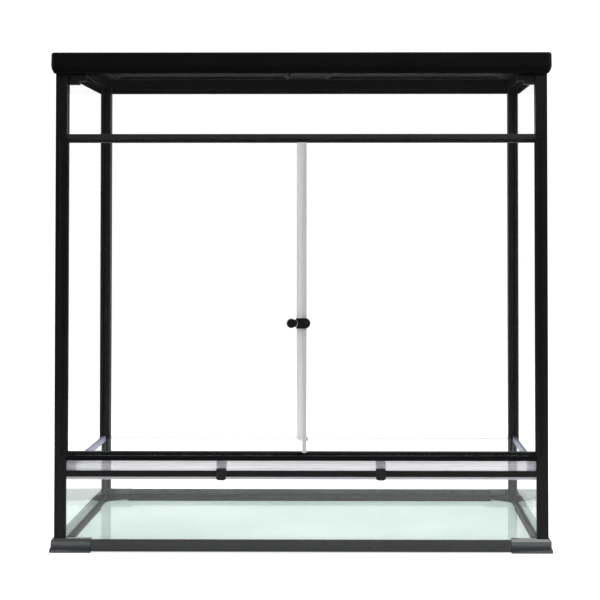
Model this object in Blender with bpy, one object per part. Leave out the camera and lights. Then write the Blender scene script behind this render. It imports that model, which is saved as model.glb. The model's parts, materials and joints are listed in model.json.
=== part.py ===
"""Knock-down glass terrarium on four black corner posts.

A waterproof glass tray stands in a moulded base, the posts carry loose side, back and front
panes above it, two glass doors swing on full-height hinge strips, and a moulded cover with two
lift-out mesh screens closes the top. Metres, +Z up, front towards -Y, origin on the floor
under the middle of the cabinet.
"""
import math

import bmesh
import bpy
from mathutils import Matrix, Vector

MM = 0.001

# Frame, measured over the outer faces of the corner posts
HALF_WIDTH = 449.0 * MM
HALF_DEPTH = 220.0 * MM
GAP = 0.3 * MM

# Corner posts: u and v run inwards from the post's outer corner, along X and along Y
POST_SIDE = 21.5 * MM
POST_LOW_LEG = 6.6 * MM
POST_BOTTOM = 3.0 * MM
POST_TOP = 896.0 * MM
POST_OUTER_RADIUS = 2.0 * MM
POST_CHAMFER = 0.8 * MM
SLOT_FLOOR = 12.5 * MM
PANE_LINE = 9.5 * MM

# Glass
TRAY_GLASS = 5.0 * MM
FLOOR_GLASS = 4.0 * MM
PANE_GLASS = 4.0 * MM
GLASS_CHAMFER = 0.4 * MM
TRAY_BOTTOM = 2.4 * MM
TRAY_TOP = 135.5 * MM
PANE_BOTTOM = 137.1 * MM
PANE_TOP = 895.0 * MM

# Door frame bars across the front
SILL_BOTTOM = 165.1 * MM
SILL_STEP = 173.6 * MM
SILL_TOP = 179.7 * MM
HEADER_BOTTOM = 744.1 * MM
HEADER_STEP = 750.8 * MM
HEADER_TOP = 759.5 * MM
HEADER_SLOT = 753.0 * MM
BAR_DEPTH = 20.5 * MM
STOP_LINE = 7.5 * MM
BAR_CHAMFER = 0.5 * MM

# Doors and their hinges: the bead axis sits in a groove at the post's inner front edge
DOOR_BOTTOM = 174.2 * MM
DOOR_TOP = 750.2 * MM
HINGE_U = 12.6 * MM
HINGE_V = 2.9 * MM
BEAD_RADIUS = 2.2 * MM
GROOVE_RADIUS = 2.5 * MM
GROOVE_WALL_RADIUS = 3.6 * MM
DOOR_FRONT = 1.7 * MM
LEFT_DOOR_EDGE = -7.5 * MM
RIGHT_DOOR_EDGE = 3.4 * MM

# Clear seal on the right door's free edge
SEAL_LIP_EDGE = -7.1 * MM
SEAL_WEB_EDGE = 2.1 * MM
SEAL_CHANNEL_EDGE = 9.9 * MM
SEAL_LIP_END = 201.0 * MM

# Latch in the middle of the doors
LATCH_Z = 414.7 * MM
KNOB_X = -17.4 * MM
KNOB_RADIUS = 8.5 * MM
TONGUE_RADIUS = 10.7 * MM
TONGUE_HALF = 6.6 * MM
KEEPER_LEFT = -9.0 * MM
KEEPER_ROUND_X = 7.6 * MM
KEEPER_HALF = 9.4 * MM
PIN_RADIUS = 2.3 * MM
SCREW_X = 10.5 * MM
SCREW_SHANK = 1.2 * MM

# Base: moulded corner feet with rails between them
FOOT_LEG_X = 68.2 * MM
FOOT_LEG_Y = 66.0 * MM
FOOT_TOP = 25.0 * MM
FOOT_OVERHANG = 7.5 * MM
GUSSET_X = 58.0 * MM
GUSSET_FRONT = 98.0 * MM
GUSSET_BACK = 51.0 * MM
GUSSET_TOP = 2.1 * MM
LAP = 9.0 * MM
RAIL_FACE = -5.0 * MM
RAIL_LAP = -2.9 * MM
RAIL_BACK = -0.8 * MM
RAIL_BOTTOM = 3.8 * MM
RAIL_TOP = 23.9 * MM
LAP_TOP = 21.5 * MM

# Clear joiners between the tray walls and what stands on them
JOINER_BOTTOM = 130.3 * MM
JOINER_WEB = 135.8 * MM
JOINER_TOP = 142.0 * MM
JOINER_WALL = 1.2 * MM
FRONT_FLANGE_TOP = 168.2 * MM

# Black bar and clips on the front joiner
BAR_LOW = 135.9 * MM
BAR_HIGH = 146.9 * MM
CLIP_X = 145.0 * MM
CLIP_WIDTH = 18.0 * MM
BRIDGE_LOW = 147.5 * MM
BRIDGE_HIGH = 150.1 * MM

# Cover
COVER_HALF_X = 457.3 * MM
COVER_HALF_Y = 228.5 * MM
COVER_TOP = 908.2 * MM
COVER_RIM = 877.5 * MM
COVER_FRONT_DROP = 8.2 * MM
COVER_CURL_IN = 3.5 * MM
COVER_CURL_UP = 8.0 * MM
COVER_WALL = 2.4 * MM
COVER_DRAFT = 0.4 * MM
COVER_EDGE_RADIUS = 3.5 * MM
COVER_CORNER_RADIUS = 9.0 * MM
WINDOW_IN = 44.0 * MM
WINDOW_OUT = 398.0 * MM
WINDOW_HALF_Y = 128.0 * MM
LEDGE = 4.0 * MM
LEDGE_TOP = 901.7 * MM

# Mesh screens
SCREEN_BAR = 9.0 * MM
SCREEN_TOP = 907.4 * MM
NET_Z = 904.2 * MM
NET_THICKNESS = 0.8 * MM
NET_BAR = 1.2 * MM
NET_COLUMNS = 11
NET_ROWS = 8

# Brackets at the top of the front posts
BRACKET_LOW = 851.0 * MM
BRACKET_HIGH = 885.5 * MM
BRACKET_WIDTH = 31.6 * MM


def material(name, colour, roughness, metallic=0.0, alpha=1.0):
    """One Principled material, shared by every piece of that finish."""
    found = bpy.data.materials.get(name)
    if found:
        return found
    made = bpy.data.materials.new(name)
    made.use_nodes = True
    shader = made.node_tree.nodes["Principled BSDF"]
    shader.inputs["Base Color"].default_value = (*colour, 1.0)
    shader.inputs["Roughness"].default_value = roughness
    shader.inputs["Metallic"].default_value = metallic
    shader.inputs["Alpha"].default_value = alpha
    made.diffuse_color = (*colour, alpha)
    return made


def black_extrusion():
    return material("black powder-coated aluminium", (0.013, 0.013, 0.014), 0.45, 0.2)


def black_moulding():
    return material("black moulded plastic", (0.016, 0.016, 0.018), 0.5)


def base_moulding():
    return material("charcoal moulded plastic", (0.045, 0.047, 0.051), 0.5)


def clear_glass():
    return material("float glass", (0.80, 0.92, 0.87), 0.03, 0.0, 0.25)


def clear_pvc():
    return material("clear extruded plastic", (0.72, 0.72, 0.78), 0.2, 0.0, 0.5)


def frosted_plastic():
    return material("frosted grey plastic", (0.45, 0.45, 0.48), 0.4, 0.0, 0.7)


def sealant():
    return material("clear silicone", (0.75, 0.80, 0.80), 0.35, 0.0, 0.6)


def steel_mesh():
    return material("black coated steel mesh", (0.03, 0.03, 0.032), 0.4, 0.6)


def finish(name, shape, surface, smooth_above=None):
    """Turn a bmesh into a named object with its material."""
    bmesh.ops.recalc_face_normals(shape, faces=shape.faces)
    mesh = bpy.data.meshes.new(name)
    shape.to_mesh(mesh)
    shape.free()
    mesh.materials.append(surface)
    if smooth_above is not None:
        mesh.shade_smooth()
        mesh.set_sharp_from_angle(angle=math.radians(smooth_above))
    made = bpy.data.objects.new(name, mesh)
    bpy.context.collection.objects.link(made)
    return made


def arc(centre, radius, start, end, steps):
    """Points on an arc, angles in degrees, both ends included."""
    angles = [math.radians(start + (end - start) * i / steps) for i in range(steps + 1)]
    return [(centre[0] + radius * math.cos(a), centre[1] + radius * math.sin(a)) for a in angles]


def on_circle(centre, radius, angle):
    """The one point of a circle at an angle in degrees."""
    turn = math.radians(angle)
    return (centre[0] + radius * math.cos(turn), centre[1] + radius * math.sin(turn))


def extruded(outline, place, low, high):
    """A prism: the outline's points go through place(a, b, t), with t from low to high."""
    return loft([[place(a, b, t) for a, b in outline] for t in (low, high)])


def together(shapes):
    """Several separate solids in one bmesh, for use as a single Boolean tool."""
    whole = bmesh.new()
    for shape in shapes:
        scratch = bpy.data.meshes.new("scratch")
        shape.to_mesh(scratch)
        shape.free()
        whole.from_mesh(scratch)
        bpy.data.meshes.remove(scratch)
    return whole


def along_x(side_y=-1.0):
    """Places a (v, z) section of a bar that runs along X, v inwards from the post faces."""
    return lambda v, z, x: Vector((x, side_y * (HALF_DEPTH - v), z))


def along_y(side_x):
    """Places a (u, z) section of a bar that runs along Y."""
    return lambda u, z, y: Vector((side_x * (HALF_WIDTH - u), y, z))


def upright(side_x, side_y):
    """Places a (u, v) section of a piece that stands at one corner."""
    return lambda u, v, z: Vector((side_x * (HALF_WIDTH - u), side_y * (HALF_DEPTH - v), z))


def plan(a, b, z):
    """Places an (x, y) outline that is extruded upwards."""
    return Vector((a, b, z))


def facing_front(a, b, y):
    """Places an (x, z) outline that is extruded along Y."""
    return Vector((a, y, b))


def block(low, high):
    """A plain box between two corners, as a bmesh."""
    shape = bmesh.new()
    bmesh.ops.create_cube(shape, size=1.0)
    centre = (Vector(low) + Vector(high)) / 2
    size = Vector(high) - Vector(low)
    for vertex in shape.verts:
        vertex.co = Vector(c + v * s for c, v, s in zip(centre, vertex.co, size))
    return shape


def boolean(target, shape, operation, label):
    """Cut or join a bmesh with an object through an exact Boolean modifier."""
    tool = finish(target.name + "_" + label, shape, target.data.materials[0])
    tool.hide_render = True
    tool.display_type = "WIRE"
    step = target.modifiers.new(label, "BOOLEAN")
    step.operation = operation
    step.solver = "EXACT"
    step.object = tool


def rectangle(low_a, high_a, low_b, high_b):
    """Outline of a plain rectangle."""
    return [(low_a, low_b), (high_a, low_b), (high_a, high_b), (low_a, high_b)]


def rounded_rectangle(low_x, high_x, low_y, high_y, radius, steps=4):
    """Outline of a rectangle with round corners, counter-clockwise."""
    corners = [(high_x, high_y, 0), (low_x, high_y, 90), (low_x, low_y, 180), (high_x, low_y, 270)]
    points = []
    for x, y, turn in corners:
        inner_x = x - math.copysign(radius, x - (low_x + high_x) / 2)
        inner_y = y - math.copysign(radius, y - (low_y + high_y) / 2)
        points += arc((inner_x, inner_y), radius, turn, turn + 90, steps)
    return points


def loft(rings):
    """Skin closed rings of equal count, the last joined by a cap at each end."""
    shape = bmesh.new()
    loops = [[shape.verts.new(point) for point in ring] for ring in rings]
    count = len(loops[0])
    for lower, upper in zip(loops, loops[1:]):
        for i in range(count):
            j = (i + 1) % count
            shape.faces.new((lower[i], lower[j], upper[j], upper[i]))
    shape.faces.new(loops[0])
    shape.faces.new(loops[-1])
    return shape


def picture_frame(section, centre_x, half_x, half_y):
    """Sweep an (inset, z) section round a rectangle with mitred corners."""
    shape = bmesh.new()
    loops = []
    for inset, z in section:
        x = half_x - inset
        y = half_y - inset
        corners = ((x, y), (-x, y), (-x, -y), (x, -y))
        loops.append([shape.verts.new((centre_x + a, b, z)) for a, b in corners])
    for i, loop in enumerate(loops):
        following = loops[(i + 1) % len(loops)]
        for k in range(4):
            m = (k + 1) % 4
            shape.faces.new((loop[k], loop[m], following[m], following[k]))
    return shape


def glass_pane(name, low, high):
    """A flat pane with ground edges."""
    shape = block(low, high)
    bmesh.ops.bevel(shape, geom=shape.edges[:], offset=GLASS_CHAMFER, segments=1, affect="EDGES")
    return finish(name, shape, clear_glass())


def turning_on(name, place, pieces):
    """Hang the pieces of one moving body on an empty that stands on its joint's axis."""
    axis = bpy.data.objects.new(name, None)
    axis.location = place
    axis.empty_display_size = 0.03
    bpy.context.collection.objects.link(axis)
    for piece in pieces:
        piece.parent = axis
        piece.matrix_parent_inverse = Matrix.Translation(place).inverted()
    return axis


# Base

def corner_foot(name, side_x, side_y):
    """Moulded foot: stepped skirt round two legs, a pocket for the post, a gusset under the tray."""
    levels = [
        (FOOT_OVERHANG, 0.0),
        (FOOT_OVERHANG, 5.0 * MM),
        (5.2 * MM, 9.5 * MM),
        (5.0 * MM, 20.5 * MM),
        (2.0 * MM, FOOT_TOP),
    ]
    inner = PANE_LINE - TRAY_GLASS / 2 - GAP
    place = upright(side_x, side_y)

    def ring(overhang, z):
        corner = arc((-overhang + 3.0 * MM, -overhang + 3.0 * MM), 3.0 * MM, 180, 270, 3)
        outline = corner + [(FOOT_LEG_X, -overhang), (FOOT_LEG_X, inner), (inner, inner)]
        outline += [(inner, FOOT_LEG_Y), (-overhang, FOOT_LEG_Y)]
        return [place(u, v, z) for u, v in outline]

    foot = finish(name, loft([ring(*level) for level in levels]), base_moulding())

    root = inner - MM
    reach = GUSSET_FRONT if side_y < 0 else GUSSET_BACK
    gusset = [(root, root), (GUSSET_X, root)]
    for i in range(1, 9):
        turn = math.radians(90 * i / 8)
        gusset.append((GUSSET_X - (GUSSET_X - inner) * math.sin(turn) ** 1.3,
                       reach - (reach - inner) * math.cos(turn) ** 1.3))
    gusset.append((root, reach))
    boolean(foot, extruded(gusset, place, 0.0, GUSSET_TOP), "UNION", "gusset")

    past = POST_LOW_LEG + GAP + MM
    end = POST_SIDE + GAP
    pocket = [(-GAP, -GAP), (end, -GAP), (end, past), (past, past), (past, end), (-GAP, end)]
    boolean(foot, extruded(pocket, place, POST_BOTTOM - GAP, FOOT_TOP + MM), "DIFFERENCE", "pocket")

    front = RAIL_LAP - GAP
    behind = inner + MM / 2
    across = rectangle(FOOT_LEG_X - LAP, FOOT_LEG_X + MM, front, behind)
    deep = rectangle(front, behind, FOOT_LEG_Y - LAP, FOOT_LEG_Y + MM)
    laps = [extruded(outline, place, -MM, LAP_TOP + GAP) for outline in (across, deep)]
    boolean(foot, together(laps), "DIFFERENCE", "rail_laps")
    return foot


def base_rail(name, place, reach, shelf_reach):
    """Rail flush with the feet: a wall between them, a lapped back and a shelf that carries the tray."""
    edge = 1.2 * MM
    wall = [(RAIL_FACE, RAIL_BOTTOM)]
    wall += arc((RAIL_FACE + edge, RAIL_TOP - edge), edge, 180, 90, 3)
    wall += [(RAIL_BACK, RAIL_TOP), (RAIL_BACK, RAIL_BOTTOM)]
    rail = finish(name, extruded(wall, place, -reach, reach), base_moulding())
    riser_front = 2.0 * MM
    riser_back = 4.2 * MM
    low = 0.6 * MM
    step = RAIL_BOTTOM + 1.4 * MM
    back = [(RAIL_LAP, RAIL_BOTTOM), (riser_front, RAIL_BOTTOM), (riser_front, low)]
    back += [(riser_back, low), (riser_back, step), (RAIL_BACK, step)]
    back += [(RAIL_BACK, LAP_TOP), (RAIL_LAP, LAP_TOP)]
    lapped = reach + LAP - GAP
    boolean(rail, extruded(back, place, -lapped, lapped), "UNION", "lapped_back")
    shelf = rectangle(riser_back - MM, 20.0 * MM, low, GUSSET_TOP)
    boolean(rail, extruded(shelf, place, -shelf_reach, shelf_reach), "UNION", "shelf")
    return rail


def base():
    """Four feet and the four rails between them."""
    for side_y, row in ((-1, "front"), (1, "back")):
        for side_x, side in ((-1, "left"), (1, "right")):
            corner_foot("corner_foot_" + row + "_" + side, side_x, side_y)
        reach = HALF_WIDTH - FOOT_LEG_X - GAP
        base_rail("base_rail_" + row, along_x(side_y), reach, reach + LAP - GAP)
    for side_x, side in ((-1, "left"), (1, "right")):
        reach = HALF_DEPTH - FOOT_LEG_Y - GAP
        base_rail("base_rail_" + side, along_y(side_x), reach, HALF_DEPTH - GUSSET_FRONT - GAP)


# Tray

def tray():
    """Floor pane and four low walls, bonded into a tank with a bead of sealant."""
    wall_in = PANE_LINE + TRAY_GLASS / 2
    wall_out = PANE_LINE - TRAY_GLASS / 2
    x_in = HALF_WIDTH - wall_in
    x_out = HALF_WIDTH - wall_out
    y_in = HALF_DEPTH - wall_in
    y_out = HALF_DEPTH - wall_out
    floor_top = TRAY_BOTTOM + FLOOR_GLASS
    floor_x = x_in - GAP
    floor_y = y_in - GAP
    glass_pane("floor_glass", (-floor_x, -floor_y, TRAY_BOTTOM), (floor_x, floor_y, floor_top))
    glass_pane("tray_glass_front", (-x_out, -y_out, TRAY_BOTTOM), (x_out, -y_in, TRAY_TOP))
    glass_pane("tray_glass_back", (-x_out, y_in, TRAY_BOTTOM), (x_out, y_out, TRAY_TOP))
    for side, name in ((-1, "tray_glass_left"), (1, "tray_glass_right")):
        ends = sorted((side * x_in, side * x_out))
        glass_pane(name, (ends[0], -y_in + GAP, TRAY_BOTTOM), (ends[1], y_in - GAP, TRAY_TOP))
    bead = 7.5 * MM
    low = floor_top + GAP
    section = [(GAP, low), (GAP, low + bead), (bead * 0.35, low + bead * 0.35), (bead, low)]
    finish("tray_silicone_seam", picture_frame(section, 0.0, x_in, y_in), sealant())


# Posts

def post_section():
    """Square post with a round outer corner and a pane slot in each inner face."""
    radius = POST_OUTER_RADIUS
    low = PANE_LINE - PANE_GLASS / 2 - GAP
    high = PANE_LINE + PANE_GLASS / 2 + GAP
    near = POST_SIDE - POST_CHAMFER
    outline = arc((radius, radius), radius, 180, 270, 3)
    outline += [(near, 0.0), (POST_SIDE, POST_CHAMFER)]
    outline += [(POST_SIDE, low), (SLOT_FLOOR, low), (SLOT_FLOOR, high), (POST_SIDE, high)]
    outline += [(POST_SIDE, near), (near, POST_SIDE)]
    outline += [(high, POST_SIDE), (high, SLOT_FLOOR), (low, SLOT_FLOOR), (low, POST_SIDE)]
    outline += [(POST_CHAMFER, POST_SIDE), (0.0, near)]
    return outline


def hinge_notch():
    """What is cut from a front post beside a door, leaving the groove that holds the bead."""
    centre = (HINGE_U, HINGE_V)
    leg_edge = 8.8 * MM
    outside = -MM
    outline = [(leg_edge, outside), (leg_edge, 0.4 * MM)]
    outline.append(on_circle(centre, GROOVE_WALL_RADIUS, 218))
    outline += arc(centre, GROOVE_RADIUS, 218, 30, 12)
    outline += arc(centre, GROOVE_WALL_RADIUS, 30, 80, 4)
    outline += [(13.4 * MM, STOP_LINE), (POST_SIDE + MM, STOP_LINE), (POST_SIDE + MM, outside)]
    return outline


def corner_post(name, side_x, side_y):
    """A post: slotted above the tray, a plain L round it below, notched for the doors in front."""
    place = upright(side_x, side_y)
    post = finish(name, extruded(post_section(), place, POST_BOTTOM, POST_TOP), black_extrusion())
    far = POST_SIDE + MM
    core = rectangle(POST_LOW_LEG, far, POST_LOW_LEG, far)
    boolean(post, extruded(core, place, 0.0, JOINER_WEB + GAP), "DIFFERENCE", "tray_corner")
    if side_y < 0:
        low = DOOR_BOTTOM - 0.4 * MM
        high = DOOR_TOP + 0.4 * MM
        boolean(post, extruded(hinge_notch(), place, low, high), "DIFFERENCE", "hinge_notch")
    return post


def posts():
    """The four corner posts."""
    for side_y, row in ((-1, "front"), (1, "back")):
        for side_x, side in ((-1, "left"), (1, "right")):
            corner_post("corner_post_" + row + "_" + side, side_x, side_y)


# Joiners

def h_joiner(name, place, reach):
    """Clear H section: the tray wall below its web, the upper pane above it."""
    tray_in = PANE_LINE + TRAY_GLASS / 2 + GAP
    tray_out = PANE_LINE - TRAY_GLASS / 2 - GAP
    pane_in = PANE_LINE + PANE_GLASS / 2 + GAP
    pane_out = PANE_LINE - PANE_GLASS / 2 - GAP
    outer = tray_out - JOINER_WALL
    inner = tray_in + JOINER_WALL
    web_top = PANE_BOTTOM - GAP
    outline = [(outer, JOINER_BOTTOM), (tray_out, JOINER_BOTTOM), (tray_out, JOINER_WEB)]
    outline += [(tray_in, JOINER_WEB), (tray_in, JOINER_BOTTOM), (inner, JOINER_BOTTOM)]
    outline += [(inner, web_top), (pane_in + JOINER_WALL / 2, JOINER_TOP), (pane_in, JOINER_TOP)]
    outline += [(pane_in, web_top), (pane_out, web_top), (pane_out, JOINER_TOP)]
    outline += [(pane_out - JOINER_WALL / 2, JOINER_TOP), (outer, web_top)]
    return finish(name, extruded(outline, place, -reach, reach), clear_pvc())


def front_joiner():
    """Clear strip that caps the tray's front wall and closes the gap up to the sill."""
    face = 5.1 * MM
    back = PANE_LINE - TRAY_GLASS / 2 - GAP
    rear = PANE_LINE + TRAY_GLASS / 2 + GAP
    leg = rear + JOINER_WALL
    web_top = JOINER_WEB + JOINER_WALL
    rib_low = 157.0 * MM
    rib_high = 160.0 * MM
    rib = face - 1.2 * MM
    reach = HALF_WIDTH - POST_SIDE - GAP
    outline = [(face, JOINER_BOTTOM), (back, JOINER_BOTTOM), (back, JOINER_WEB), (rear, JOINER_WEB)]
    outline += [(rear, JOINER_BOTTOM), (leg, JOINER_BOTTOM), (leg, web_top)]
    outline += [(back, web_top), (back, FRONT_FLANGE_TOP), (face, FRONT_FLANGE_TOP)]
    outline += [(face, rib_high), (rib, rib_high - 0.6 * MM), (rib, rib_low + 0.6 * MM), (face, rib_low)]
    strip = finish("front_joiner", extruded(outline, along_x(), -reach, reach), clear_pvc())
    half = CLIP_WIDTH / 2 + GAP
    slots = []
    for x in (-CLIP_X, CLIP_X):
        low = (x - half, -HALF_DEPTH, BRIDGE_LOW - GAP)
        high = (x + half, -HALF_DEPTH + back + MM, BRIDGE_HIGH + GAP)
        slots.append(block(low, high))
    boolean(strip, together(slots), "DIFFERENCE", "clip_slots")


def vent_bar():
    """Black bar along the front of the clear strip."""
    front = 0.8 * MM
    back = 4.8 * MM
    outline = rounded_rectangle(front, back, BAR_LOW, BAR_HIGH, 0.9 * MM, 3)
    reach = HALF_WIDTH - POST_SIDE - 2 * GAP
    finish("vent_bar", extruded(outline, along_x(), -reach, reach), black_extrusion())


def vent_clip(name, x):
    """Clip over the black bar: a tongue in front, a bridge through the strip, a leaf behind it."""
    front = -HALF_DEPTH - 1.6 * MM
    tongue_back = -HALF_DEPTH + 0.5 * MM
    leaf_front = -HALF_DEPTH + 7.0 * MM
    leaf_back = -HALF_DEPTH + 9.0 * MM
    tongue_low = 129.9 * MM
    leaf_top = 163.5 * MM
    half = CLIP_WIDTH / 2
    corner = 5.0 * MM
    tongue = arc((x - half + corner, tongue_low + corner), corner, 180, 270, 5)
    tongue += arc((x + half - corner, tongue_low + corner), corner, 270, 360, 5)
    cut = 0.8 * MM
    tongue += [(x + half, BRIDGE_HIGH - cut), (x + half - cut, BRIDGE_HIGH)]
    tongue += [(x - half + cut, BRIDGE_HIGH), (x - half, BRIDGE_HIGH - cut)]
    clip = finish(name, extruded(tongue, facing_front, front, tongue_back), black_moulding())
    edge = 0.1 * MM
    inside = half - edge
    bridge_back = (x + inside, leaf_back - edge, BRIDGE_HIGH - edge)
    bridge = block((x - inside, front + MM, BRIDGE_LOW), bridge_back)
    leaf = block((x - half, leaf_front, BRIDGE_LOW), (x + half, leaf_back, leaf_top))
    boolean(clip, bridge, "UNION", "bridge")
    boolean(clip, leaf, "UNION", "leaf")


def joiner_end_plug(name, side_x):
    """Translucent block that stands on the clear strip's web beside a front post."""
    front = -HALF_DEPTH + 7.0 * MM
    back = -HALF_DEPTH + 11.0 * MM
    ends = sorted((side_x * 411.0 * MM, side_x * 427.0 * MM))
    outline = rounded_rectangle(ends[0], ends[1], 137.3 * MM, 163.0 * MM, 1.0 * MM, 2)
    finish(name, extruded(outline, facing_front, front, back), frosted_plastic())


def joiners():
    """Clear strips between the tray and what stands on it, with the front strip's fittings."""
    for side_x, side in ((-1, "left"), (1, "right")):
        h_joiner("glass_joiner_" + side, along_y(side_x), HALF_DEPTH - POST_SIDE - GAP)
        vent_clip("vent_clip_" + side, side_x * CLIP_X)
        joiner_end_plug("joiner_end_plug_" + side, side_x)
    h_joiner("glass_joiner_back", along_x(1.0), HALF_WIDTH - POST_SIDE - GAP)
    front_joiner()
    vent_bar()


# Panes above the tray

def panes():
    """Loose panes that drop into the posts' slots: two sides, back and the one over the doors."""
    outer = PANE_LINE - PANE_GLASS / 2
    inner = PANE_LINE + PANE_GLASS / 2
    into_slot = SLOT_FLOOR + 0.4 * MM
    reach_x = HALF_WIDTH - into_slot
    reach_y = HALF_DEPTH - into_slot
    for side_x, name in ((-1, "side_glass_left"), (1, "side_glass_right")):
        ends = sorted((side_x * (HALF_WIDTH - outer), side_x * (HALF_WIDTH - inner)))
        glass_pane(name, (ends[0], -reach_y, PANE_BOTTOM), (ends[1], reach_y, PANE_TOP))
    back_in = HALF_DEPTH - inner
    back_out = HALF_DEPTH - outer
    glass_pane("back_glass", (-reach_x, back_in, PANE_BOTTOM), (reach_x, back_out, PANE_TOP))
    transom_low = HEADER_SLOT + 0.4 * MM
    glass_pane("transom_glass", (-reach_x, -back_out, transom_low), (reach_x, -back_in, PANE_TOP))


# Door frame bars

def door_header():
    """Bar over the doors: a stop lip behind them and a slot for the pane above."""
    low = PANE_LINE - PANE_GLASS / 2 - GAP
    high = PANE_LINE + PANE_GLASS / 2 + GAP
    cut = BAR_CHAMFER
    outline = [(cut, HEADER_STEP), (STOP_LINE, HEADER_STEP), (STOP_LINE, HEADER_BOTTOM + cut)]
    outline += [(STOP_LINE + cut, HEADER_BOTTOM), (BAR_DEPTH - cut, HEADER_BOTTOM)]
    outline += [(BAR_DEPTH, HEADER_BOTTOM + cut), (BAR_DEPTH, HEADER_TOP - cut)]
    outline += [(BAR_DEPTH - cut, HEADER_TOP), (high, HEADER_TOP), (high, HEADER_SLOT)]
    outline += [(low, HEADER_SLOT), (low, HEADER_TOP), (cut, HEADER_TOP)]
    outline += [(0.0, HEADER_TOP - cut), (0.0, HEADER_STEP + cut)]
    reach = HALF_WIDTH - POST_SIDE - GAP
    finish("door_header", extruded(outline, along_x(), -reach, reach), black_extrusion())


def door_sill():
    """Bar under the doors, slotted below to sit on the clear strip."""
    slot_front = 4.8 * MM
    slot_back = 7.0 * MM
    slot_top = FRONT_FLANGE_TOP + GAP
    cut = BAR_CHAMFER
    outline = [(cut, SILL_BOTTOM), (slot_front, SILL_BOTTOM), (slot_front, slot_top)]
    outline += [(slot_back, slot_top), (slot_back, SILL_BOTTOM), (BAR_DEPTH - cut, SILL_BOTTOM)]
    outline += [(BAR_DEPTH, SILL_BOTTOM + cut), (BAR_DEPTH, SILL_TOP - cut), (BAR_DEPTH - cut, SILL_TOP)]
    outline += [(STOP_LINE + cut, SILL_TOP), (STOP_LINE, SILL_TOP - cut), (STOP_LINE, SILL_STEP)]
    outline += [(cut, SILL_STEP), (0.0, SILL_STEP - cut), (0.0, SILL_BOTTOM + cut)]
    reach = HALF_WIDTH - POST_SIDE - GAP
    finish("door_sill", extruded(outline, along_x(), -reach, reach), black_extrusion())


def transom_bracket(name, side_x):
    """Moulded block on a front post, behind the pane over the doors."""
    outer = HALF_WIDTH - POST_SIDE - 0.4 * MM
    plate_in = outer - BRACKET_WIDTH
    ledge_in = 408.0 * MM
    front = -208.1 * MM
    plate_back = -203.0 * MM
    ledge_back = -198.0 * MM
    ledge_top = 858.0 * MM
    ends = sorted((side_x * outer, side_x * plate_in))
    plate_low = ledge_top - MM
    outline = rounded_rectangle(ends[0], ends[1], plate_low, BRACKET_HIGH, 1.5 * MM, 3)
    bracket = finish(name, extruded(outline, facing_front, front, plate_back), black_moulding())
    ends = sorted((side_x * outer, side_x * ledge_in))
    ledge = block((ends[0], front, BRACKET_LOW), (ends[1], ledge_back, ledge_top))
    boolean(bracket, ledge, "UNION", "ledge")


# Cover

def cover_ring(z, inset, corner, drop=0.0, steps=6):
    """One level of the cover's outline, its front edge lower by drop and sweeping up at the corners."""
    x = COVER_HALF_X - inset
    y = COVER_HALF_Y - inset
    ring = []
    for a, b in rounded_rectangle(-x, x, -y, y, corner, steps):
        turned = max(0.0, min(1.0, (-b - (y - corner)) / corner))
        ring.append(Vector((a, b, z - drop * turned)))
    return ring


def both_ways(low, high, mirror_y=True):
    """Boxes mirrored across the cabinet: (x, y, z) corners given for the right and back."""
    made = []
    for side_x in (-1, 1):
        for side_y in ((-1, 1) if mirror_y else (1,)):
            x = sorted((side_x * low[0], side_x * high[0]))
            y = sorted((side_y * low[1], side_y * high[1]))
            made.append(block((x[0], y[0], low[2]), (x[1], y[1], high[2])))
    return made


def cover_ribs():
    """Ribs under the top that centre the cover on the panes and the pads that rest on the posts."""
    rib = 2.0 * MM
    low = 886.0 * MM
    top = COVER_TOP - COVER_WALL + MM
    inner_x = 431.8 * MM
    inner_y = 203.3 * MM
    outer_x = 444.2 * MM
    outer_y = 215.7 * MM
    made = []
    for x, reach in ((inner_x, 197.5 * MM), (outer_x, 190.0 * MM)):
        made += both_ways((x, -reach, low), (x + rib, reach, top), False)
    for y, reach in ((inner_y, 426.5 * MM), (outer_y, 415.0 * MM)):
        for side in (-1, 1):
            ends = sorted((side * y, side * (y + rib)))
            made.append(block((-reach, ends[0], low), (reach, ends[1], top)))
    pad = 3.0 * MM
    pad_low = POST_TOP + GAP
    far = (HALF_WIDTH - pad, HALF_DEPTH - pad, top)
    near = (HALF_WIDTH - POST_SIDE + pad, HALF_DEPTH - POST_SIDE + pad, pad_low)
    return made + both_ways(near, far)


def cover_levels(wall):
    """The cover's outline from its rim to its shoulder, drawn in by the wall's thickness."""
    rings = []
    for turn in range(0, 91, 15):
        inset = COVER_CURL_IN * (1 - math.sin(math.radians(turn)))
        rise = COVER_CURL_UP * (1 - math.cos(math.radians(turn)))
        drop = COVER_FRONT_DROP * (1 - turn / 90)
        corner = COVER_CORNER_RADIUS - wall - inset
        rings.append(cover_ring(COVER_RIM + rise, wall + inset, corner, drop))
    return rings


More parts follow.
